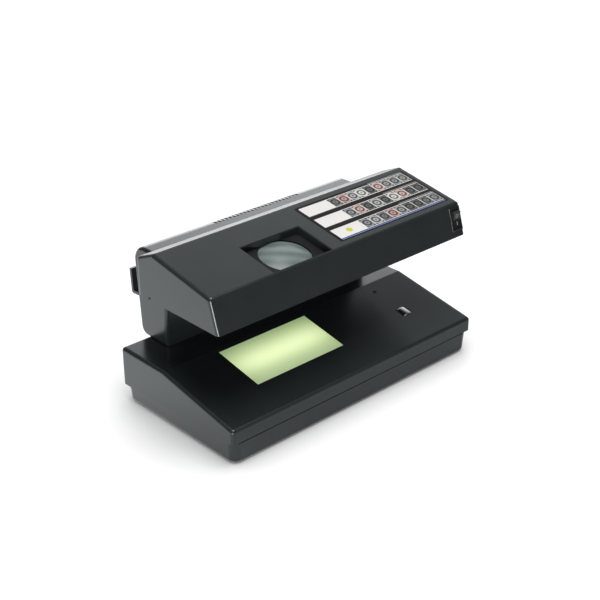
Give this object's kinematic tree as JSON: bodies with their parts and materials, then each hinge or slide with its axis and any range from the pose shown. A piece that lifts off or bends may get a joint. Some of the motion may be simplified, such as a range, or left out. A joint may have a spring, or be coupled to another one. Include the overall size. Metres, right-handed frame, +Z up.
{
  "type": "banknote detector",
  "caption": "Desktop banknote checker: wedge base with a lit window and magnetic head, rear column, and an overhanging hood with ultraviolet tubes, a magnifier and a rocker switch.",
  "frame": {"origin": "on the table, at the middle of the overall width and depth", "axes": "+X to the user's right along the width, +Y to the rear, +Z up"},
  "size_m": [0.267, 0.1574, 0.1452],
  "materials": {
    "black_abs": "satin fine texture",
    "dark_abs_inner": "matte",
    "foot_rubber": "matte",
    "gland_rubber": "matte",
    "screw_steel": "zinc plated",
    "opal_acrylic": "translucent opal",
    "lamp_glass": "phosphor coated",
    "uv_glass": "dark violet filter glass",
    "cap_aluminium": "satin",
    "socket_plastic": "moulded",
    "trough_sheet": "white enamel",
    "reflector_sheet": "bright rolled",
    "head_chrome": "lapped",
    "led_plastic": "clear red",
    "board_laminate": "green solder mask",
    "buzzer_plastic": "moulded",
    "core_iron": "varnished laminations",
    "lens_glass": "polished",
    "label_print": "printed film",
    "switch_plastic": "moulded",
    "terminal_brass": "tinned",
    "ballast_plastic": "sleeved",
    "loom_sleeve": "braided sleeve"
  },
  "bodies": {
    "machine": {"base_tray": "black_abs", "base_cover": "black_abs", "rubber_feet": "foot_rubber", "base_screws": "screw_steel", "light_window": "opal_acrylic", "watermark_lamp": "lamp_glass", "watermark_lamp_caps": "cap_aluminium", "watermark_lampholders": "socket_plastic", "watermark_reflector": "trough_sheet", "magnetic_head": "head_chrome", "head_holder": "dark_abs_inner", "indicator_led": "led_plastic", "led_spacer": "dark_abs_inner", "detector_board": "board_laminate", "buzzer": "buzzer_plastic", "power_board": "board_laminate", "transformer": "core_iron", "cord_gland": "gland_rubber", "column_housing": "black_abs", "column_screws": "screw_steel", "rear_cover": "black_abs", "rear_cover_screws": "screw_steel", "cord_hook_left": "black_abs", "cord_hook_right": "black_abs", "hood_cover": "black_abs", "hood_underside": "black_abs", "hood_screws": "screw_steel", "underside_screws": "screw_steel", "uv_reflector": "reflector_sheet", "uv_lamp_front": "uv_glass", "uv_lamp_rear": "uv_glass", "uv_lamp_caps": "cap_aluminium", "uv_lampholders": "socket_plastic", "lens": "lens_glass", "lens_carrier": "dark_abs_inner", "view_tunnel": "dark_abs_inner", "legend_label": "label_print", "switch_body": "switch_plastic", "switch_terminals": "terminal_brass", "ballast_board": "board_laminate", "ballast_parts": "ballast_plastic", "wiring_loom": "loom_sleeve"},
    "rocker": {"switch_rocker": "switch_plastic"}
  },
  "joints": [
    {"name": "switch_rock", "type": "hinge", "parent": "machine", "child": "rocker", "pos_m": [0.1252, -0.06144, 0.11998], "axis": [-1, 0, 0], "range_deg": [0, 22]}
  ]
}
